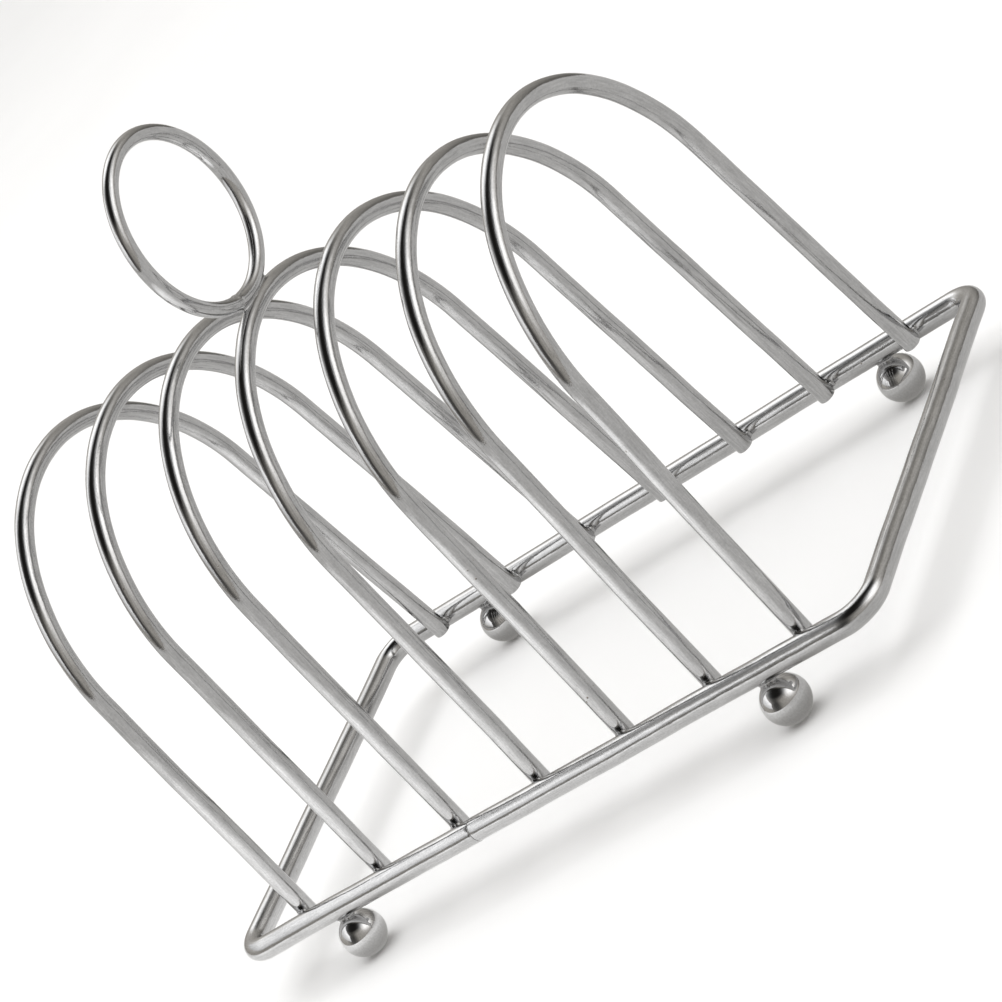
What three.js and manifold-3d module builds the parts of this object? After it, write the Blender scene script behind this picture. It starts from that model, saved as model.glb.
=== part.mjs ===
// Welded wire toast rack for six slices.
//
// A rod bent to a rectangle stands on four ball feet. Seven arched hoops stand across it, each leg
// welded to the inner side of a long rail, and a ring handle is welded on top of the middle hoop.
//
// Millimetres, +Z up. The origin is on the ground under the middle of the rack: X runs along the
// long rails, Y runs across from the near rail (-Y) to the far rail (+Y).

import * as THREE from 'three';
import { mergeVertices } from 'three/addons/utils/BufferGeometryUtils.js';
import Module from 'manifold-3d';

const wasm = await Module();
wasm.setup();

// Driving dimensions
const ROD_RADIUS = 2.5;
const WIRE_RADIUS = 2;
const RING_WIRE_RADIUS = 1.6;
const FOOT_RADIUS = 5;
const FOOT_FLAT_RADIUS = 1.25;
const JOINT_GAP = 0.3;

const RACK_LENGTH = 182.4;
const RACK_WIDTH = 104;
const CORNER_RADIUS = 6.5;
const FOOT_SPACING = 120.8;

const HOOP_COUNT = 7;
const HOOP_PITCH = 23.7;
const ARCH_RADIUS = 40.6;
const ARCH_RISE = 57.7;
const LEG_OVERHANG = 1.1;

const RING_RADIUS = 18.8;
const RING_LEAN = THREE.MathUtils.degToRad(4);
const RING_SINK = 0.6;

// Half sizes of the blobs of weld metal, each along X, Y and Z
const LEG_WELD = new THREE.Vector3(2.4, 2, 2);
const FOOT_WELD = new THREE.Vector3(2.5, 2.5, 1.6);
const RING_WELD = new THREE.Vector3(0.75, 2.8, 1);
const WELD_CUT_LENGTH = 12;

// The butt seam of the base rod is in the near rail, this far to the right of the third hoop.
const SEAM_HOOP = 3;
const SEAM_OFFSET = 6;

// Sides of a wire's section, and steps around its bends
const WIRE_SIDES = 12;
const ARCH_STEPS = 30;
const CORNER_STEPS = 6;
const RING_STEPS = 44;
const FOOT_SIDES = 22;
const FOOT_STEPS = 12;
const WELD_SIDES = 14;

// Places worked out from the driving dimensions
const FOOT_HEIGHT = Math.sqrt(FOOT_RADIUS ** 2 - FOOT_FLAT_RADIUS ** 2);
const RAIL_HEIGHT = FOOT_HEIGHT + FOOT_RADIUS + JOINT_GAP + ROD_RADIUS;
const RAIL_X = RACK_LENGTH / 2 - ROD_RADIUS;
const RAIL_Y = RACK_WIDTH / 2 - ROD_RADIUS;
const LEG_Y = RAIL_Y - ROD_RADIUS - JOINT_GAP - WIRE_RADIUS;
const ARCH_CENTRE = RAIL_HEIGHT + ARCH_RISE;
const ARCH_TOP = ARCH_CENTRE + ARCH_RADIUS;
const RING_FOOT = ARCH_TOP + WIRE_RADIUS + RING_WIRE_RADIUS - RING_SINK;
const SEAM_X = hoopX(SEAM_HOOP) + SEAM_OFFSET;

// A leg leans in by this angle to run straight into the arch.
const LEG_LEAN = Math.acos(ARCH_RADIUS / Math.hypot(LEG_Y, ARCH_RISE)) - Math.atan2(ARCH_RISE, LEG_Y);

const rack = new THREE.Group();

/** The hoops are numbered from the left end, and stand at even distances about the middle. */
function hoopX(number) {
  return (number - (HOOP_COUNT + 1) / 2) * HOOP_PITCH;
}

/** A rod's centre line: straight and bent stretches, each cut into its own number of steps. */
class RodPath extends THREE.Curve {
  constructor(stretches) {
    super();
    this.stretches = stretches;
    this.steps = stretches.reduce((sum, stretch) => sum + stretch.steps, 0);
  }

  getPoint(t, target = new THREE.Vector3()) {
    let place = t * this.steps;
    for (const { curve, steps } of this.stretches.slice(0, -1)) {
      if (place < steps) {
        return curve.getPoint(place / steps, target);
      }
      place -= steps;
    }
    const last = this.stretches.at(-1);
    return last.curve.getPoint(place / last.steps, target);
  }

  getUtoTmapping(u) {
    return u;
  }
}

/** An arc from angle start to angle end around a centre, from the first axis towards the second. */
class Arc extends THREE.Curve {
  constructor(centre, radius, firstAxis, secondAxis, start, end) {
    super();
    Object.assign(this, { centre, radius, firstAxis, secondAxis, start, end });
  }

  getPoint(t, target = new THREE.Vector3()) {
    const angle = this.start + (this.end - this.start) * t;
    return target
      .copy(this.centre)
      .addScaledVector(this.firstAxis, this.radius * Math.cos(angle))
      .addScaledVector(this.secondAxis, this.radius * Math.sin(angle));
  }
}

const X_AXIS = new THREE.Vector3(1, 0, 0);
const Y_AXIS = new THREE.Vector3(0, 1, 0);
const Z_AXIS = new THREE.Vector3(0, 0, 1);

function chrome(colour, roughness) {
  return new THREE.MeshStandardMaterial({ color: colour, roughness, metalness: 1 });
}

const rodChrome = chrome(0xd8d8da, 0.16);
const wireChrome = chrome(0xc9c8c6, 0.2);
const footChrome = chrome(0xd2d2d4, 0.1);
const weldChrome = chrome(0xb4b2b0, 0.34);

function addPiece(name, geometry, material) {
  const piece = new THREE.Mesh(geometry, material);
  piece.name = name;
  rack.add(piece);
  return piece;
}

/** A round rod of the given radius along a path. */
function rodAlong(path, radius) {
  const section = new THREE.Shape().absarc(0, 0, radius, 0, 2 * Math.PI);
  return new THREE.ExtrudeGeometry(section, {
    steps: path.steps,
    curveSegments: WIRE_SIDES / 2,
    extrudePath: path,
    bevelEnabled: false,
  });
}

/** The rod bent to a rectangle. Its two ends meet at a butt seam in the near rail. */
function baseLoopPath() {
  const reachX = RAIL_X - CORNER_RADIUS;
  const reachY = RAIL_Y - CORNER_RADIUS;
  const quarter = Math.PI / 2;
  const at = (x, y) => new THREE.Vector3(x, y, RAIL_HEIGHT);
  const straight = (from, to) => ({ curve: new THREE.LineCurve3(from, to), steps: 1 });
  const corner = (x, y, start) => ({
    curve: new Arc(at(x, y), CORNER_RADIUS, X_AXIS, Y_AXIS, start, start + quarter),
    steps: CORNER_STEPS,
  });
  return new RodPath([
    straight(at(SEAM_X + JOINT_GAP / 2, -RAIL_Y), at(reachX, -RAIL_Y)),
    corner(reachX, -reachY, -quarter),
    straight(at(RAIL_X, -reachY), at(RAIL_X, reachY)),
    corner(reachX, reachY, 0),
    straight(at(reachX, RAIL_Y), at(-reachX, RAIL_Y)),
    corner(-reachX, reachY, quarter),
    straight(at(-RAIL_X, reachY), at(-RAIL_X, -reachY)),
    corner(-reachX, -reachY, 2 * quarter),
    straight(at(-reachX, -RAIL_Y), at(SEAM_X - JOINT_GAP / 2, -RAIL_Y)),
  ]);
}

/** A wire bent to an arch, with two straight legs that spread a little towards the rails. */
function hoopPath(x) {
  const centre = new THREE.Vector3(x, 0, ARCH_CENTRE);
  const arch = new Arc(centre, ARCH_RADIUS, Y_AXIS, Z_AXIS, Math.PI - LEG_LEAN, LEG_LEAN);
  const nearSpring = arch.getPoint(0);
  const farSpring = arch.getPoint(1);
  const legEnd = (side) => {
    const drop = RAIL_HEIGHT - LEG_OVERHANG;
    return new THREE.Vector3(x, side * (LEG_Y + LEG_OVERHANG * Math.tan(LEG_LEAN)), drop);
  };
  return new RodPath([
    { curve: new THREE.LineCurve3(legEnd(-1), nearSpring), steps: 1 },
    { curve: arch, steps: ARCH_STEPS },
    { curve: new THREE.LineCurve3(farSpring, legEnd(1)), steps: 1 },
  ]);
}

/** A full circle of wire that stands on its lowest point, in the plane of the hoops. */
function ringGeometry(wireRadius) {
  const ring = new THREE.TorusGeometry(RING_RADIUS, wireRadius, WIRE_SIDES, RING_STEPS);
  return ring
    .rotateY(Math.PI / 2)
    .translate(0, 0, RING_RADIUS)
    .rotateY(RING_LEAN)
    .translate(0, 0, RING_FOOT);
}

/** A ball with a small flat under it. */
function footGeometry() {
  const flatAngle = Math.asin(FOOT_FLAT_RADIUS / FOOT_RADIUS);
  const profile = [new THREE.Vector2(0, -FOOT_HEIGHT)];
  for (let step = 0; step < FOOT_STEPS; step += 1) {
    const angle = flatAngle + ((Math.PI - flatAngle) * step) / FOOT_STEPS;
    profile.push(new THREE.Vector2(FOOT_RADIUS * Math.sin(angle), -FOOT_RADIUS * Math.cos(angle)));
  }
  profile.push(new THREE.Vector2(0, FOOT_RADIUS));
  return new THREE.LatheGeometry(profile, FOOT_SIDES).rotateX(Math.PI / 2);
}

/** A closed mesh as a solid that can be joined and cut. */
function solidOf(geometry) {
  const bare = geometry.clone();
  bare.deleteAttribute('normal');
  bare.deleteAttribute('uv');
  const merged = mergeVertices(bare, 1e-4);
  return new wasm.Manifold(
    new wasm.Mesh({
      numProp: 3,
      vertProperties: merged.attributes.position.array,
      triVerts: Uint32Array.from(merged.index.array),
    }),
  );
}

function geometryOf(solid) {
  const { vertProperties, triVerts } = solid.getMesh();
  const geometry = new THREE.BufferGeometry();
  geometry.setAttribute('position', new THREE.BufferAttribute(vertProperties, 3));
  geometry.setIndex(new THREE.BufferAttribute(triVerts, 1));
  geometry.computeVertexNormals();
  return geometry;
}

/** The metal of a weld: a blob around the joint, cut back clear of the pieces that it joins. */
function weldGeometry(centre, halfSizes, joined) {
  const blob = new THREE.SphereGeometry(1, WELD_SIDES, WELD_SIDES / 2)
    .scale(halfSizes.x, halfSizes.y, halfSizes.z)
    .translate(centre.x, centre.y, centre.z);
  const metal = joined.reduce((rest, piece) => rest.subtract(solidOf(piece)), solidOf(blob));
  return geometryOf(metal);
}

/** A straight cutter around a long rail, wider than the rail by the joint gap. */
function railCutter(x, side) {
  const radius = ROD_RADIUS + JOINT_GAP;
  return new THREE.CylinderGeometry(radius, radius, WELD_CUT_LENGTH, 2 * WIRE_SIDES)
    .rotateZ(Math.PI / 2)
    .translate(x, side * RAIL_Y, RAIL_HEIGHT);
}

/** A straight cutter around the foot of a hoop's leg, wider than the wire by the joint gap. */
function legCutter(x, side) {
  const radius = WIRE_RADIUS + JOINT_GAP;
  return new THREE.CylinderGeometry(radius, radius, WELD_CUT_LENGTH, 2 * WIRE_SIDES)
    .rotateX(Math.PI / 2)
    .rotateX(side * LEG_LEAN)
    .translate(x, side * LEG_Y, RAIL_HEIGHT);
}

/** A ball around a foot, wider than the foot by the joint gap. */
function ballCutter(middle) {
  return new THREE.SphereGeometry(FOOT_RADIUS + JOINT_GAP, 2 * FOOT_SIDES, FOOT_SIDES)
    .translate(middle.x, middle.y, middle.z);
}

/** A cutter around the middle hoop's arch, wider than the wire by the joint gap. */
function archCutter() {
  const reach = Math.PI / 6;
  const centre = new THREE.Vector3(0, 0, ARCH_CENTRE);
  const stretch = new Arc(centre, ARCH_RADIUS, Y_AXIS, Z_AXIS, Math.PI / 2 + reach, Math.PI / 2 - reach);
  const path = new RodPath([{ curve: stretch, steps: ARCH_STEPS }]);
  return rodAlong(path, WIRE_RADIUS + JOINT_GAP);
}

const sides = [
  { side: -1, row: 'near' },
  { side: 1, row: 'far' },
];
const ends = [
  { end: -1, column: 'left' },
  { end: 1, column: 'right' },
];

addPiece('base_loop', rodAlong(baseLoopPath(), ROD_RADIUS), rodChrome);

for (let number = 1; number <= HOOP_COUNT; number += 1) {
  const x = hoopX(number);
  addPiece(`hoop_${number}`, rodAlong(hoopPath(x), WIRE_RADIUS), wireChrome);
  for (const { side, row } of sides) {
    const touch = new THREE.Vector3(x, side * (LEG_Y + WIRE_RADIUS), RAIL_HEIGHT);
    const weld = weldGeometry(touch, LEG_WELD, [railCutter(x, side), legCutter(x, side)]);
    addPiece(`weld_hoop_${number}_${row}`, weld, weldChrome);
  }
}

for (const { side, row } of sides) {
  for (const { end, column } of ends) {
    const middle = new THREE.Vector3((end * FOOT_SPACING) / 2, side * RAIL_Y, FOOT_HEIGHT);
    const foot = addPiece(`foot_${row}_${column}`, footGeometry(), footChrome);
    foot.position.copy(middle);
    const touch = middle.clone().addScaledVector(Z_AXIS, FOOT_RADIUS);
    const joined = [railCutter(middle.x, side), ballCutter(middle)];
    addPiece(`weld_foot_${row}_${column}`, weldGeometry(touch, FOOT_WELD, joined), weldChrome);
  }
}

// The ring is pressed onto the middle hoop, so its wire is notched where the two wires meet.
const ring = solidOf(ringGeometry(RING_WIRE_RADIUS)).subtract(solidOf(archCutter()));
addPiece('ring_handle', geometryOf(ring), wireChrome);

for (const { end, column } of ends) {
  const touch = new THREE.Vector3(2 * end * RING_WELD.x, 0, ARCH_TOP + WIRE_RADIUS);
  const joined = [archCutter(), ringGeometry(RING_WIRE_RADIUS + JOINT_GAP)];
  addPiece(`weld_ring_${column}`, weldGeometry(touch, RING_WELD, joined), weldChrome);
}

export default rack;
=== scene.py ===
import math

import bpy
import numpy as np
from mathutils import Matrix, Vector


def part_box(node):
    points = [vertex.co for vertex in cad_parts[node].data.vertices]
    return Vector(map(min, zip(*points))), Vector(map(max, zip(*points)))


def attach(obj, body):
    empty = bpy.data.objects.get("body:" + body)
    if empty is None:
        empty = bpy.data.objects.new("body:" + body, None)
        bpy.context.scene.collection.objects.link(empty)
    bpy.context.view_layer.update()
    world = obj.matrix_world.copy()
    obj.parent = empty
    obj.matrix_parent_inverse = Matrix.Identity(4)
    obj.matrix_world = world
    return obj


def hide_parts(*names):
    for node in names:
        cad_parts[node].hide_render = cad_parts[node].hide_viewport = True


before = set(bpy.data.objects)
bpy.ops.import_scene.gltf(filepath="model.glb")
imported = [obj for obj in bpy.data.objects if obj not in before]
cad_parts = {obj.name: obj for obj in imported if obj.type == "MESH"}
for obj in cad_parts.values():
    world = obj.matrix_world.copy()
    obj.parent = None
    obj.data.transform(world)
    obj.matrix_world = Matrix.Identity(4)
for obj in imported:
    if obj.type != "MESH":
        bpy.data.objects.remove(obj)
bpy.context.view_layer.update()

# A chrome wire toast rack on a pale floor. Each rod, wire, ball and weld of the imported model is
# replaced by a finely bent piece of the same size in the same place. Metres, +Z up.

X, Y, Z = np.eye(3)

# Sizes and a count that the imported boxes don't give
RING_WIRE = 0.0016
RING_LEAN = math.radians(4)
ARCH_RADIUS = 0.0406
CORNER_RADIUS = 0.0065
FOOT_RADIUS = 0.005
HOOP_COUNT = 7

# Which way the rows lie along Y, and the ends along X
SIDES = {"near": -1, "far": 1}
ENDS = {"left": -1, "right": 1}

# Where the rod and the ring's wire are butted
SEAM_HOOP = 3
SEAM_OFFSET = 0.006
RING_SEAM_ANGLE = math.radians(253)

# Fine shape of the rods and wires
WIRE_SIDES = 32
POINT_SPACING = 0.0011
END_ROUNDING = 0.00022
SEAM_GAP = 0.00006
SEAM_RIDGE = 0.00012
SEAM_RIDGE_WIDTH = 0.0005
WANDER = 0.00005
WANDER_WAVELENGTHS = (0.062, 0.031, 0.013)

# Radius of the welds' fillets, and about how far their balls stand from the joint
LEG_FILLET = 0.00055
FOOT_FILLET = 0.8 * LEG_FILLET
RING_FILLET = 0.7 * LEG_FILLET
ROUND_REACHES = (0.0023, 0.0023)
RING_REACHES = (0.0016, 0.0058)

# Fine shape of the welds. The root and the tuck are shares of the way to the ball's middle.
WELD_BITE = 0.00008
WELD_ROOT = 0.45
WELD_TUCK = 0.04
WELD_WAVES = 5
WELD_UNEVENNESS = 0.08
WELD_RIPPLE = 0.00002
RIPPLES_ROUND = 11
RIPPLE_SKEW = 3
WELD_ROWS = 64
WELD_ARC_STEPS = 7

# How scorched the welds are, how far their heat stain and painted joint shade reach round them, and how
# much rougher the heat left the metal
WELD_SCORCH = 0.55
HEAT_AND_SHADE_REACH = 0.0035
HEAT_ROUGHNESS = 0.14

# How fine the metal's marks are, in repeats to the metre
LINES_ROUND_WIRE = 3400
LINES_ALONG_WIRE = 300
SMUDGES = 140
GRAINS = 2600
PITS = 420

# How deep the marks are, the colour of pits, of scorched metal and of the painted shade round the
# joints, and the bare metal's blue
MARK_DEPTH = 0.00003
SCORCH_AND_SHADE_COLOUR = (0.26, 0.22, 0.18, 1)
BLUE_CAST = 1.005

# The rails, from the base loop's box
loop_low, loop_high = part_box("base_loop")
ROD = (loop_high.z - loop_low.z) / 2
RAIL_X = loop_high.x - ROD
RAIL_Y = loop_high.y - ROD
RAIL_Z = (loop_high.z + loop_low.z) / 2

# The hoops, from the first hoop's box
hoop_low, hoop_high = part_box("hoop_1")
WIRE = (hoop_high.x - hoop_low.x) / 2
ARCH_TOP = hoop_high.z - WIRE
ARCH_CENTRE = ARCH_TOP - ARCH_RADIUS
LEG_Y = RAIL_Y - ROD - WIRE
LEG_REACH = math.hypot(LEG_Y, ARCH_CENTRE - RAIL_Z)
LEG_LEAN = math.acos(ARCH_RADIUS / LEG_REACH) - math.atan2(ARCH_CENTRE - RAIL_Z, LEG_Y)
LEG_END = hoop_low.z + WIRE * math.sin(LEG_LEAN)

# The ring, from its own box
ring_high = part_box("ring_handle")[1]
RING_RADIUS = ring_high.y - RING_WIRE
RING_FOOT = ring_high.z - RING_WIRE - 2 * RING_RADIUS * math.cos(RING_LEAN)
RING_UP = math.cos(RING_LEAN) * Z + math.sin(RING_LEAN) * X
RING_ACROSS = np.cross(Y, RING_UP)
RING_CENTRE = RING_FOOT * Z + RING_RADIUS * RING_UP


def hoop_x(number):
    low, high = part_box(f"hoop_{number}")
    return (low.x + high.x) / 2


def foot_middle(row, column):
    low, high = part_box(f"foot_{row}_{column}")
    return np.array([(low.x + high.x) / 2, SIDES[row] * RAIL_Y, high.z - FOOT_RADIUS])


# Node materials

class Nodes:
    """Adds shader nodes to a material or world and links them in one call each."""

    def __init__(self, owner):
        owner.use_nodes = True
        self.tree = owner.node_tree
        self.tree.nodes.clear()

    def add(self, kind, inputs=None, **settings):
        node = self.tree.nodes.new(kind)
        for key, value in settings.items():
            setattr(node, key, value)
        for key, value in (inputs or {}).items():
            self.put(node.inputs[key], value)
        return node

    def put(self, socket, value):
        if isinstance(value, bpy.types.NodeSocket):
            self.tree.links.new(value, socket)
        else:
            socket.default_value = value

    def maths(self, operation, first, second=0.0):
        return self.add("ShaderNodeMath", {0: first, 1: second}, operation=operation).outputs[0]

    def times(self, first, second):
        return self.maths("MULTIPLY", first, second)

    def plus(self, first, second):
        return self.maths("ADD", first, second)

    def remap(self, value, low, high, to_low, to_high):
        inputs = {"Value": value, "From Min": low, "From Max": high, "To Min": to_low, "To Max": to_high}
        return self.add("ShaderNodeMapRange", inputs).outputs["Result"]

    def noise(self, vector, scale, detail=3.0, roughness=0.55):
        inputs = {"Vector": vector, "Scale": scale, "Detail": detail, "Roughness": roughness}
        return self.add("ShaderNodeTexNoise", inputs).outputs["Fac"]

    def vector_maths(self, operation, first, second):
        node = self.add("ShaderNodeVectorMath", {0: first, 1: second}, operation=operation)
        return node.outputs["Vector" if operation == "ADD" else "Value"]

    def colour(self, red, green, blue):
        return self.add("ShaderNodeCombineColor", {0: red, 1: green, 2: blue}).outputs[0]

    def mix_colour(self, factor, first, second):
        node = self.add("ShaderNodeMix", {0: factor}, data_type="RGBA")
        self.put(node.inputs[6], first)
        self.put(node.inputs[7], second)
        return node.outputs[2]

    def principled(self, inputs):
        shader = self.add("ShaderNodeBsdfPrincipled", inputs)
        self.add("ShaderNodeOutputMaterial", {"Surface": shader.outputs[0]})


def plated_metal(name, shine, roughness, drawn, pitting):
    """Chrome plate over drawn wire: fine lengthwise lines, smudges, pits, and heat stains with painted
    shade by the welds.

    The "along" attribute runs round and along each wire, and the weld attribute is 1 where it was welded
    and fades out round each weld, giving the heat stain and the painted joint shade."""
    material = bpy.data.materials.new(name)
    nodes = Nodes(material)
    along = nodes.add("ShaderNodeAttribute", attribute_name="along").outputs["Vector"]
    heat = nodes.add("ShaderNodeAttribute", attribute_name="heat").outputs["Fac"]
    place = nodes.add("ShaderNodeTexCoord").outputs["Object"]

    stretch = (LINES_ROUND_WIRE, LINES_ROUND_WIRE, LINES_ALONG_WIRE)
    stretched = nodes.add("ShaderNodeMapping", {"Vector": along, "Scale": stretch}).outputs[0]
    lines = nodes.noise(stretched, 1.0, detail=4.0, roughness=0.65)
    smudges = nodes.noise(place, SMUDGES, detail=4.0)
    grains = nodes.noise(place, GRAINS, detail=2.0)
    cells = nodes.add("ShaderNodeTexVoronoi", {"Vector": place, "Scale": PITS}).outputs["Distance"]
    pitted_areas = nodes.remap(smudges, 0.58, 0.66, 0, 1)
    pits = nodes.times(nodes.remap(cells, 0.03, 0.10, 1, 0), pitted_areas)

    # Dark and light lines, cloudy smudges and a fine grain, then the scorched and pitted places and the
    # painted shade round the joints
    tone = nodes.remap(lines, 0.32, 0.68, 1 - 0.16 * drawn, 1 + 0.10 * drawn)
    tone = nodes.times(tone, nodes.remap(smudges, 0.3, 0.7, 1.04, 0.94))
    tone = nodes.times(tone, nodes.remap(grains, 0.3, 0.7, 0.93, 1.07))
    tone = nodes.times(tone, shine)
    bare = nodes.colour(tone, tone, nodes.times(tone, BLUE_CAST))
    # Round the welds the metal darkens: partly a heat stain, partly painted shade in the joints
    heat_stain_and_shade = nodes.times(heat, nodes.remap(grains, 0.3, 0.6, 0.5, 1.0))
    marked = nodes.maths("MAXIMUM", heat_stain_and_shade, nodes.times(pits, pitting))
    colour = nodes.mix_colour(marked, bare, SCORCH_AND_SHADE_COLOUR)

    # Rougher where it is smudged, in some of the lines, and by the welds
    worn = nodes.remap(smudges, 0.3, 0.72, roughness * 0.8, roughness * 1.35)
    worn = nodes.plus(worn, nodes.remap(lines, 0.3, 0.7, -0.3 * roughness, 0.3 * roughness))
    worn = nodes.plus(worn, nodes.times(heat, HEAT_ROUGHNESS))

    # The lines and the grain stand up, and the pits go in
    relief = nodes.times(lines, drawn)
    relief = nodes.plus(relief, nodes.times(grains, 0.25 * drawn))
    relief = nodes.maths("SUBTRACT", relief, nodes.times(pits, 2.0 * pitting))
    bump = nodes.add("ShaderNodeBump", {"Height": relief, "Strength": 0.7, "Distance": MARK_DEPTH})
    normal = bump.outputs[0]
    nodes.principled({"Base Color": colour, "Metallic": 1.0, "Roughness": worn, "Normal": normal})
    return material


materials = {
    "rod": plated_metal("satin_chrome_rod", shine=0.57, roughness=0.09, drawn=0.8, pitting=1.0),
    "wire": plated_metal("bright_chrome_wire", shine=0.56, roughness=0.08, drawn=1.0, pitting=1.0),
    "foot": plated_metal("polished_chrome_ball", shine=0.61, roughness=0.07, drawn=0.12, pitting=0.4),
    "weld": plated_metal("plated_weld_metal", shine=0.46, roughness=0.26, drawn=0.8, pitting=0.6),
}


# Pieces

def weld_places():
    """Every point where metal was melted. The pieces near each one are darkened round it by a heat stain
    and by painted shade in the joint.
    """
    places = []
    for number in range(1, HOOP_COUNT + 1):
        for side in SIDES.values():
            places.append([hoop_x(number), side * (RAIL_Y - ROD), RAIL_Z])
    for row in SIDES:
        for column in ENDS:
            x, y, _ = foot_middle(row, column)
            places.append([x, y, RAIL_Z - ROD])
    places.append([hoop_x(SEAM_HOOP) + SEAM_OFFSET, -RAIL_Y, RAIL_Z])
    places.append([0, 0, ARCH_TOP + WIRE])
    return np.array(places)


WELD_PLACES = weld_places()


def heat_and_shade_at(points):
    """How near points are to a weld: 1 at the weld, 0 past the reach of its heat stain and painted joint
    shade.
    """
    gaps = np.linalg.norm(points[:, None, :] - WELD_PLACES[None, :, :], axis=2).min(axis=1)
    return np.clip(1 - gaps / HEAT_AND_SHADE_REACH, 0, 1) ** 1.5


def add_piece(name, vertices, faces, slot, stands_for, along=None, heat=None):
    """A smooth piece in a slot's metal, in place of the nodes it stands for."""
    mesh = bpy.data.meshes.new(name)
    mesh.from_pydata([tuple(vertex) for vertex in vertices], [], faces)
    mesh.update()
    mesh.polygons.foreach_set("use_smooth", [True] * len(mesh.polygons))
    along = vertices if along is None else along
    # Unless given, the weld mask fades out from each weld: partly heat stain, partly painted joint shade
    heat = heat_and_shade_at(vertices) if heat is None else heat
    attribute = mesh.attributes.new("along", "FLOAT_VECTOR", "POINT")
    attribute.data.foreach_set("vector", np.asarray(along, dtype=np.float32).ravel())
    attribute = mesh.attributes.new("heat", "FLOAT", "POINT")
    attribute.data.foreach_set("value", np.asarray(heat, dtype=np.float32))
    mesh.materials.append(materials[slot])
    piece = bpy.data.objects.new(name, mesh)
    bpy.context.scene.collection.objects.link(piece)
    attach(piece, "root")
    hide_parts(*stands_for)


def line_points(start, end):
    count = max(2, round(np.linalg.norm(end - start) / POINT_SPACING))
    steps = np.linspace(0, 1, count + 1)[:, None]
    return start + (end - start) * steps


def arc_points(centre, radius, first, second, start, end, spacing=POINT_SPACING):
    """Points of an arc, from the first axis towards the second."""
    count = max(8, round(abs(end - start) * radius / spacing))
    angles = np.linspace(start, end, count + 1)[:, None]
    return centre + radius * (np.cos(angles) * first + np.sin(angles) * second)


def joined_points(*stretches):
    """One run of points from stretches that each start where the last one ended."""
    return np.vstack([stretches[0]] + [stretch[1:] for stretch in stretches[1:]])


def wander(distance, seed):
    """A slow random drift along a wire, as hand-bent wire has."""
    draw = np.random.default_rng(seed)
    drift = np.zeros_like(distance)
    for wavelength in WANDER_WAVELENGTHS:
        phase = draw.uniform(0, 2 * math.pi)
        share = wavelength / WANDER_WAVELENGTHS[0]
        drift += share * np.sin(2 * math.pi * distance / wavelength + phase)
    return drift * WANDER


def tube(points, across, outward, radius, swell, distance, closed):
    """A tube's vertices and faces, and the vertices' places round and along it.

    The swell is how much thicker than its radius the tube is at each point."""
    angles = np.arange(WIRE_SIDES) * 2 * math.pi / WIRE_SIDES
    spokes = np.cos(angles)[None, :, None] * outward[:, None, :] + np.sin(angles)[None, :, None] * across
    vertices = (points[:, None, :] + (radius + swell)[:, None, None] * spokes).reshape(-1, 3)
    around = radius * np.stack([np.cos(angles), np.sin(angles)], axis=1)
    along = np.hstack([np.tile(around, (len(points), 1)), np.repeat(distance, WIRE_SIDES)[:, None]])
    return vertices, tube_faces(len(points), WIRE_SIDES, closed), along


def open_rod(points, across, radius, seed):
    """A round rod along points in the plane whose normal is across, with rounded cut ends."""
    tangents = np.gradient(points, axis=0)
    tangents /= np.linalg.norm(tangents, axis=1)[:, None]
    outward = np.cross(tangents, across)
    steps = np.linalg.norm(np.diff(points, axis=0), axis=1)
    distance = np.concatenate([[0], np.cumsum(steps)])
    points = points + outward * wander(distance, seed)[:, None]
    points = points + across * wander(distance, seed + 1)[:, None]

    turn = np.linspace(0, math.pi / 2, 5)[1:]
    sunk = -END_ROUNDING * (1 - np.cos(turn))
    short_of_end = (END_ROUNDING * (np.sin(turn) - 1))[:, None]
    first = points[0] - tangents[0] * short_of_end
    last = points[-1] + tangents[-1] * short_of_end
    points[0] += tangents[0] * END_ROUNDING
    points[-1] -= tangents[-1] * END_ROUNDING

    def with_ends(values):
        start = np.repeat(values[:1], len(turn), axis=0)
        end = np.repeat(values[-1:], len(turn), axis=0)
        return np.concatenate([start, values, end])

    points = np.vstack([first[::-1], points, last])
    swell = np.concatenate([sunk[::-1], np.zeros(len(tangents)), sunk])
    distance = with_ends(distance)
    outward = with_ends(outward)
    vertices, faces, along = tube(points, across, outward, radius, swell, distance, closed=False)
    for row, flip in ((0, True), (len(points) - 1, False)):
        faces += cap_faces(row * WIRE_SIDES, len(vertices), flip)
        vertices = np.vstack([vertices, points[row]])
        along = np.vstack([along, [0, 0, distance[row]]])
    return vertices, faces, along


def closed_rod(points, across, radius, seam):
    """A round rod along a closed run of points. Its seam, a small ridge, is that far along it."""
    tangents = np.roll(points, -1, axis=0) - np.roll(points, 1, axis=0)
    tangents /= np.linalg.norm(tangents, axis=1)[:, None]
    steps = np.linalg.norm(np.diff(points, axis=0), axis=1)
    distance = np.concatenate([[0], np.cumsum(steps)])
    ridge = SEAM_RIDGE * np.exp(-(((distance - seam) / SEAM_RIDGE_WIDTH) ** 2))
    return tube(points, across, np.cross(tangents, across), radius, ridge, distance, closed=True)


def tube_faces(rows, sides, closed):
    """The quads between each row of a tube and the next."""
    faces = []
    for row in range(rows if closed else rows - 1):
        here = row * sides
        there = ((row + 1) % rows) * sides
        for side in range(sides):
            after = (side + 1) % sides
            faces.append((here + side, here + after, there + after, there + side))
    return faces


def cap_faces(start, centre, flip):
    """The triangles from a tube's end row to the vertex in its middle."""
    faces = []
    for side in range(WIRE_SIDES):
        corners = (start + side, start + (side + 1) % WIRE_SIDES, centre)
        faces.append(corners[::-1] if flip else corners)
    return faces


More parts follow.
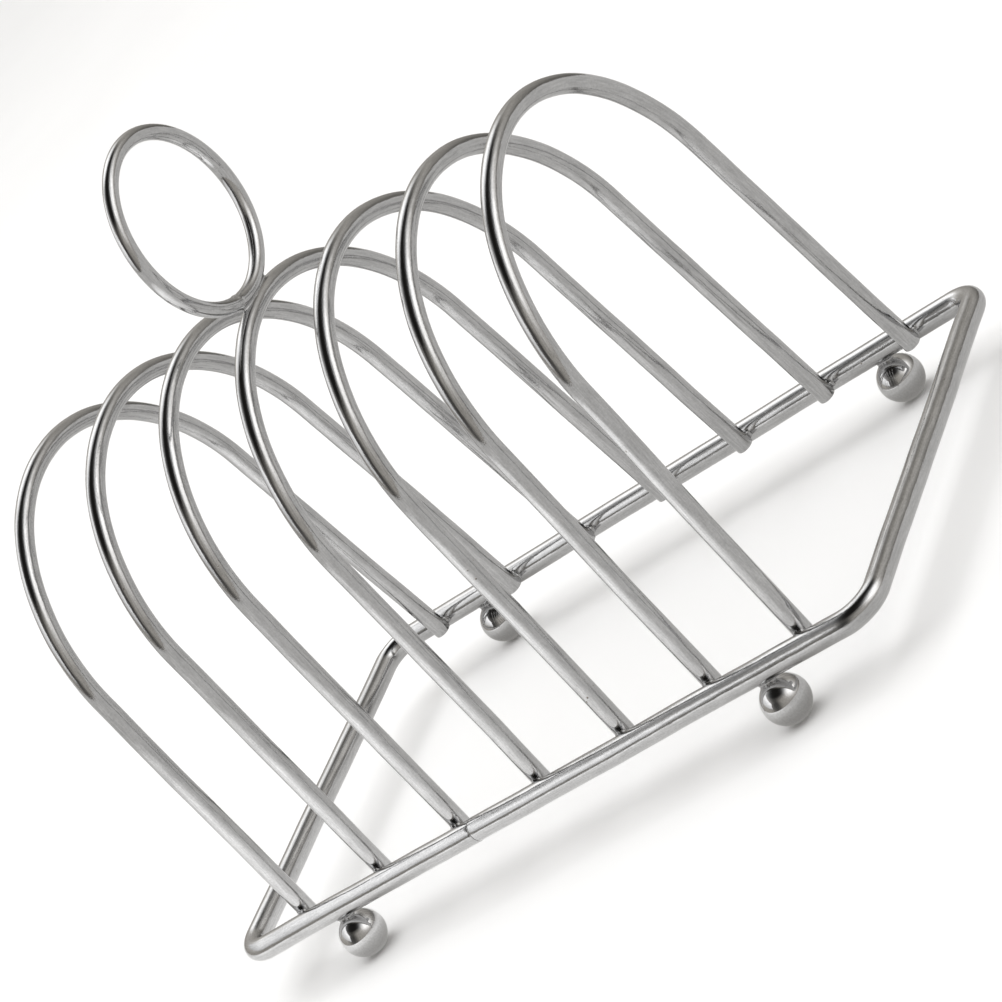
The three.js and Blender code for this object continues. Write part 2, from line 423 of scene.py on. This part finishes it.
def base_loop():
    """The rod bent to a rectangle, from its butt seam round to the seam again."""
    reach_x = RAIL_X - CORNER_RADIUS
    reach_y = RAIL_Y - CORNER_RADIUS
    seam = hoop_x(SEAM_HOOP) + SEAM_OFFSET
    quarter = math.pi / 2

    def at(x, y):
        return np.array([x, y, RAIL_Z])

    def corner(x, y, start):
        return arc_points(at(x, y), CORNER_RADIUS, X, Y, start, start + quarter, POINT_SPACING / 2)

    points = joined_points(
        line_points(at(seam + SEAM_GAP / 2, -RAIL_Y), at(reach_x, -RAIL_Y)),
        corner(reach_x, -reach_y, -quarter),
        line_points(at(RAIL_X, -reach_y), at(RAIL_X, reach_y)),
        corner(reach_x, reach_y, 0),
        line_points(at(reach_x, RAIL_Y), at(-reach_x, RAIL_Y)),
        corner(-reach_x, reach_y, quarter),
        line_points(at(-RAIL_X, reach_y), at(-RAIL_X, -reach_y)),
        corner(-reach_x, -reach_y, 2 * quarter),
        line_points(at(-reach_x, -RAIL_Y), at(seam - SEAM_GAP / 2, -RAIL_Y)),
    )
    vertices, faces, along = open_rod(points, Z, ROD, seed=1)
    add_piece("base_rod", vertices, faces, "rod", ["base_loop"], along)


def hoop(number):
    """A wire bent to an arch, with straight legs that spread a little to the rails."""
    x = hoop_x(number)
    centre = np.array([x, 0, ARCH_CENTRE])
    arch = arc_points(centre, ARCH_RADIUS, Y, Z, math.pi - LEG_LEAN, LEG_LEAN)
    end_y = LEG_Y + (RAIL_Z - LEG_END) * math.tan(LEG_LEAN)
    points = joined_points(
        line_points(np.array([x, -end_y, LEG_END]), arch[0]),
        arch,
        line_points(arch[-1], np.array([x, end_y, LEG_END])),
    )
    vertices, faces, along = open_rod(points, X, WIRE, seed=10 * number)
    add_piece(f"arch_wire_{number}", vertices, faces, "wire", [f"hoop_{number}"], along)


def ring_handle():
    """The ring that the rack is lifted by, which leans a little along the rack."""
    spacing = POINT_SPACING / 3
    points = arc_points(RING_CENTRE, RING_RADIUS, Y, RING_UP, 0, 2 * math.pi, spacing)[:-1]
    seam = RING_RADIUS * RING_SEAM_ANGLE
    vertices, faces, along = closed_rod(points, RING_ACROSS, RING_WIRE, seam)
    add_piece("ring_wire", vertices, faces, "wire", ["ring_handle"], along)


def foot(row, column):
    """A polished ball, flat where it stands."""
    middle = foot_middle(row, column)
    rows = 40
    sides = 64
    directions = []
    for step in range(1, rows):
        polar = math.pi * step / rows
        for side in range(sides):
            turn = 2 * math.pi * side / sides
            level = math.cos(turn) * X + math.sin(turn) * Y
            directions.append(math.sin(polar) * level + math.cos(polar) * Z)
    vertices = middle + FOOT_RADIUS * np.array(directions + [Z, -Z])
    vertices[:, 2] = np.maximum(vertices[:, 2], 0)
    faces = [face[::-1] for face in tube_faces(rows - 1, sides, closed=False)]
    top = len(vertices) - 2
    bottom = len(vertices) - 1
    last = (rows - 2) * sides
    for side in range(sides):
        after = (side + 1) % sides
        faces.append((top, side, after))
        faces.append((bottom, last + after, last + side))
    add_piece(f"ball_{row}_{column}", vertices, faces, "foot", [f"foot_{row}_{column}"])


# Welds. Each is the fillet that a small ball leaves as it rolls round the joint of two pieces.
# A surface is given by a function that says how far a point is outside it.

def line_surface(point, direction, radius):
    def distance(at):
        offset = at - point
        return np.linalg.norm(offset - direction * (offset @ direction)) - radius

    return distance


def ball_surface(middle, radius):
    return lambda at: np.linalg.norm(at - middle) - radius


def circle_surface(centre, normal, circle_radius, radius):
    def distance(at):
        offset = at - centre
        height = offset @ normal
        spread = np.linalg.norm(offset - height * normal) - circle_radius
        return math.hypot(spread, height) - radius

    return distance


def slope(distance, at, step=1e-7):
    """The direction in which a surface's distance grows fastest."""
    rise = np.array([distance(at + step * axis) - distance(at - step * axis) for axis in (X, Y, Z)])
    return rise / np.linalg.norm(rise)


def rolling_ball(touch, outward, normal, surfaces, fillet, reach):
    """The middle of a ball that touches both surfaces, out from the joint in one direction."""
    place = np.array([reach, 0.0])
    step = 1e-7
    longest_move = 0.0006
    rounds = 40

    def misses(guess):
        at = touch + guess[0] * outward + guess[1] * normal
        return np.array([surface(at) - fillet for surface in surfaces])

    for _ in range(rounds):
        miss = misses(place)
        across = np.array([misses(place + step * row) - miss for row in np.eye(2)]).T / step
        place = place - np.clip(np.linalg.solve(across, miss), -longest_move, longest_move)
    return touch + place[0] * outward + place[1] * normal


def fillet_row(touch, middle, surfaces, radius, turn, phase):
    """The outline of a weld cut across, from inside one piece to inside the other and back."""
    to_first = -slope(surfaces[0], middle)
    to_second = -slope(surfaces[1], middle)
    opening = math.acos(np.clip(to_first @ to_second, -1, 1))
    inward = (touch - middle) * WELD_TUCK
    outline = [middle + to_first * (radius + WELD_BITE) + inward]
    for step in range(WELD_ARC_STEPS + 1):
        share = step / WELD_ARC_STEPS
        blend = math.sin((1 - share) * opening) * to_first + math.sin(share * opening) * to_second
        ripple = WELD_RIPPLE * math.sin(RIPPLES_ROUND * turn + RIPPLE_SKEW * share + phase)
        outline.append(middle + blend / math.sin(opening) * (radius + ripple))
    outline.append(middle + to_second * (radius + WELD_BITE) + inward)
    outline.append(touch + (middle - touch) * WELD_ROOT)
    return outline


def weld(name, stands_for, touch, normal, surfaces, fillet, seed, reaches=ROUND_REACHES, lowest=None):
    """A closed fillet ring round the joint of two pieces, no lower than the first piece's cut end.

    The reaches are about how far the fillet's ball stands from the joint, along X and across it."""
    upward = np.cross(normal, X)
    phases = np.random.default_rng(seed).uniform(0, 2 * math.pi, WELD_WAVES)
    vertices = []
    for row in range(WELD_ROWS):
        turn = 2 * math.pi * row / WELD_ROWS
        waves = sum(math.sin((n + 2) * turn + phase) for n, phase in enumerate(phases))
        radius = fillet * (1 + WELD_UNEVENNESS * waves)
        outward = math.cos(turn) * X + math.sin(turn) * upward
        reach = math.hypot(reaches[0] * math.cos(turn), reaches[1] * math.sin(turn))
        middle = rolling_ball(touch, outward, normal, surfaces, radius, reach)
        while lowest is not None and (middle - slope(surfaces[0], middle) * radius)[2] < lowest:
            radius *= 0.8
            middle = rolling_ball(touch, outward, normal, surfaces, radius, reach)
        vertices += fillet_row(touch, middle, surfaces, radius, turn, phases[0])
    vertices = np.array(vertices)
    faces = tube_faces(WELD_ROWS, len(vertices) // WELD_ROWS, closed=True)
    if volume(vertices, faces) < 0:
        faces = [face[::-1] for face in faces]
    add_piece(name, vertices, faces, "weld", stands_for, heat=np.full(len(vertices), WELD_SCORCH))


def volume(vertices, faces):
    """Six times the volume in a closed mesh of quads, below 0 if its faces look inward."""
    offsets = vertices - vertices.mean(axis=0)
    total = 0.0
    for face in faces:
        a, b, c, d = offsets[list(face)]
        total += a @ np.cross(b, c) + a @ np.cross(c, d)
    return total


def leg_weld(number, row):
    side = SIDES[row]
    x = hoop_x(number)
    touch = np.array([x, side * (RAIL_Y - ROD), RAIL_Z])
    rail = line_surface(np.array([x, side * RAIL_Y, RAIL_Z]), X, ROD)
    leg_direction = math.cos(LEG_LEAN) * Z - side * math.sin(LEG_LEAN) * Y
    leg = line_surface(np.array([x, side * LEG_Y, RAIL_Z]), leg_direction, WIRE)
    name = f"leg_weld_{number}_{row}"
    stands_for = [f"weld_hoop_{number}_{row}"]
    seed = 100 + 2 * number + side
    lowest = LEG_END + END_ROUNDING
    weld(name, stands_for, touch, side * Y, (leg, rail), LEG_FILLET, seed, lowest=lowest)


def foot_weld(row, column):
    middle = foot_middle(row, column)
    touch = np.array([middle[0], middle[1], (middle[2] + FOOT_RADIUS + RAIL_Z - ROD) / 2])
    rail = line_surface(np.array([middle[0], middle[1], RAIL_Z]), X, ROD)
    ball = ball_surface(middle, FOOT_RADIUS)
    name = f"ball_weld_{row}_{column}"
    stands_for = [f"weld_foot_{row}_{column}"]
    seed = 200 + 3 * SIDES[row] + ENDS[column]
    weld(name, stands_for, touch, Z, (ball, rail), FOOT_FILLET, seed)


def ring_weld():
    """The fillet where the ring stands pressed into the middle hoop."""
    touch = (ARCH_TOP + WIRE + RING_FOOT - RING_WIRE) / 2 * Z
    arch = circle_surface(ARCH_CENTRE * Z, X, ARCH_RADIUS, WIRE)
    ring = circle_surface(RING_CENTRE, RING_ACROSS, RING_RADIUS, RING_WIRE)
    stands_for = ["weld_ring_left", "weld_ring_right"]
    weld("ring_weld", stands_for, touch, Z, (arch, ring), RING_FILLET, 300, RING_REACHES)


base_loop()
for hoop_number in range(1, HOOP_COUNT + 1):
    hoop(hoop_number)
    for row_name in SIDES:
        leg_weld(hoop_number, row_name)
for row_name in SIDES:
    for column_name in ENDS:
        foot(row_name, column_name)
        foot_weld(row_name, column_name)
ring_handle()
ring_weld()


# Studio

def sheet(name, corners, material):
    """A flat piece of the studio."""
    mesh = bpy.data.meshes.new(name)
    mesh.from_pydata(corners, [], [range(len(corners))])
    mesh.materials.append(material)
    piece = bpy.data.objects.new(name, mesh)
    bpy.context.scene.collection.objects.link(piece)
    return piece


def only_mirrored(piece):
    """Leaves a stage piece to be seen in the metal and nowhere else."""
    piece.visible_camera = False
    piece.visible_diffuse = False
    piece.visible_shadow = False
    piece.visible_transmission = False


def glowing(nodes, brightness, base):
    """A matt surface of a base grey that also gives off white light."""
    inputs = {
        "Base Color": (base, base, base, 1),
        "Roughness": 1.0,
        "Emission Color": (1, 1, 1, 1),
        "Emission Strength": brightness,
    }
    nodes.principled(inputs)


FLOOR_REACH = 6
FLOOR_CORNERS = [(x * FLOOR_REACH, y * FLOOR_REACH, 0) for x, y in ((-1, -1), (1, -1), (1, 1), (-1, 1))]


def floor():
    """The pale floor under the rack."""
    material = bpy.data.materials.new("pale_floor")
    nodes = Nodes(material)
    place = nodes.add("ShaderNodeTexCoord").outputs["Object"]
    tone = nodes.remap(nodes.noise(place, 9.0, detail=2.0), 0.3, 0.7, 0.88, 0.90)
    nodes.principled({"Base Color": nodes.colour(tone, tone, tone), "Roughness": 0.9})
    sheet("floor", FLOOR_CORNERS, material).visible_glossy = False


def reflected_floor():
    """The floor that the metal mirrors: grey and glowing, with a painted pool of light in front of the
    rack and a painted contact shadow under each ball.
    """
    material = bpy.data.materials.new("reflected_floor")
    nodes = Nodes(material)
    place = nodes.add("ShaderNodeTexCoord").outputs["Object"]
    # Painted pool of light on the mirrored floor, brightest in front of the rack
    painted_light_middle = (-0.13, -0.22, 0)
    bright = nodes.remap(nodes.vector_maths("DISTANCE", place, painted_light_middle), 0.05, 0.27, 1.3, 0.45)
    # Painted contact shadow round each ball
    for row in SIDES:
        for column in ENDS:
            x, y, _ = foot_middle(row, column)
            gap = nodes.vector_maths("DISTANCE", place, (x, y, 0))
            bright = nodes.times(bright, nodes.remap(gap, 0.004, 0.020, 0.35, 1.0))
    glowing(nodes, bright, base=0.5)
    only_mirrored(sheet("reflected_floor", FLOOR_CORNERS, material))


def left_panel():
    """A bright upright panel to the left of the rack, brighter towards its top edge."""
    x = -0.36
    front, back = -0.56, 0.10
    low, full_brightness, high = 0.14, 0.34, 0.42
    material = bpy.data.materials.new("bright_panel")
    nodes = Nodes(material)
    place = nodes.add("ShaderNodeTexCoord").outputs["Object"]
    height = nodes.add("ShaderNodeSeparateXYZ", {0: place}).outputs["Z"]
    glowing(nodes, nodes.remap(height, low, full_brightness, 0.75, 1.5), base=0.0)
    corners = [(x, front, low), (x, back, low), (x, back, high), (x, front, high)]
    only_mirrored(sheet("left_panel", corners, material))


def glow(nodes, direction, azimuth, elevation, width, height, power=1.0):
    """1 in the middle of a soft-edged window of the room, and 0 away from it.

    The angles are in degrees. The azimuth is from +X towards +Y, and a high power makes the edge
    harder."""
    azimuth, elevation = math.radians(azimuth), math.radians(elevation)
    sideways = Vector((-math.sin(azimuth), math.cos(azimuth), 0))
    level = Vector((math.cos(azimuth), math.sin(azimuth), 0))
    ahead = math.cos(elevation) * level + math.sin(elevation) * Vector((0, 0, 1))
    upward = ahead.cross(sideways)

    def offset(axis, size):
        scaled = nodes.maths("DIVIDE", nodes.vector_maths("DOT_PRODUCT", direction, axis), size)
        return nodes.times(scaled, scaled)

    across = offset(sideways, math.sin(math.radians(width)))
    spread = nodes.plus(across, offset(upward, math.sin(math.radians(height))))
    window = nodes.maths("EXPONENT", nodes.times(nodes.maths("POWER", spread, power), -0.7))
    in_front = nodes.remap(nodes.vector_maths("DOT_PRODUCT", direction, ahead), 0, 0.1, 0, 1)
    return nodes.times(window, in_front)


def room():
    """A dim warm room with soft lights in it, dark overhead. The camera sees plain white instead."""
    world = bpy.data.worlds.new("room")
    bpy.context.scene.world = world
    nodes = Nodes(world)
    direction = nodes.add("ShaderNodeTexCoord").outputs["Generated"]
    height = nodes.add("ShaderNodeSeparateXYZ", {0: direction}).outputs["Z"]

    walls = nodes.times(nodes.remap(height, 0.55, 0.8, 1, 0), 0.42)
    front_shade = nodes.times(glow(nodes, direction, 252, 20, width=22, height=32, power=1.6), 0.93)
    back_shade = nodes.times(glow(nodes, direction, 75, 0, width=36, height=14), 0.65)
    for shade in (front_shade, back_shade):
        walls = nodes.times(walls, nodes.maths("SUBTRACT", 1.0, shade))
    walls = nodes.plus(walls, 0.015)
    tint = nodes.add("ShaderNodeVectorMath", {0: (1.0, 0.95, 0.87)}, operation="SCALE")
    nodes.put(tint.inputs["Scale"], walls)

    back_light = nodes.times(glow(nodes, direction, 131, 51, width=20, height=16, power=1.8), 1.65)
    left_light = nodes.times(glow(nodes, direction, 172, 40, width=36, height=18, power=1.3), 0.5)
    right_light = nodes.times(glow(nodes, direction, 5, 33, width=27, height=19, power=1.4), 1.6)
    lights = nodes.plus(nodes.plus(back_light, left_light), right_light)
    lit = nodes.vector_maths("ADD", tint.outputs[0], nodes.colour(lights, lights, lights))

    seen = nodes.add("ShaderNodeLightPath").outputs["Is Camera Ray"]
    colour = nodes.mix_colour(seen, lit, (0.95, 0.95, 0.95, 1))
    shader = nodes.add("ShaderNodeBackground", {"Color": colour, "Strength": 1.0})
    nodes.add("ShaderNodeOutputWorld", {"Surface": shader.outputs[0]})


def overhead_light():
    """A wide soft light on the floor that the metal doesn't mirror."""
    light = bpy.data.lights.new("overhead_softbox", "AREA")
    light.shape = "SQUARE"
    light.size = 2.4
    light.energy = 40
    lamp = bpy.data.objects.new("overhead_softbox", light)
    lamp.location = (-0.2, -0.1, 1.9)
    lamp.visible_camera = False
    lamp.visible_glossy = False
    bpy.context.scene.collection.objects.link(lamp)


def camera():
    """The photograph's view, with the rack turned counter-clockwise in the picture."""
    heading = math.radians(40.17)
    elevation = math.radians(17.0)
    roll = math.radians(46.18)
    aim = Vector((0.0055, 0, 0.0484))
    distance = 0.8073
    level = Vector((math.sin(heading), -math.cos(heading), 0))
    back = math.cos(elevation) * level + math.sin(elevation) * Vector((0, 0, 1))
    right = Vector((0, 0, 1)).cross(back).normalized()
    upward = back.cross(right)
    rolled_right = math.cos(roll) * right - math.sin(roll) * upward
    rolled_up = math.sin(roll) * right + math.cos(roll) * upward
    data = bpy.data.cameras.new("camera")
    data.sensor_width = 36
    data.lens = 146.4
    eye = bpy.data.objects.new("camera", data)
    eye.rotation_mode = "QUATERNION"
    eye.rotation_quaternion = Matrix((rolled_right, rolled_up, back)).transposed().to_quaternion()
    eye.location = aim + back * distance
    bpy.context.scene.collection.objects.link(eye)
    bpy.context.scene.camera = eye


floor()
reflected_floor()
left_panel()
room()
overhead_light()
camera()
bpy.context.scene.view_settings.view_transform = "Standard"
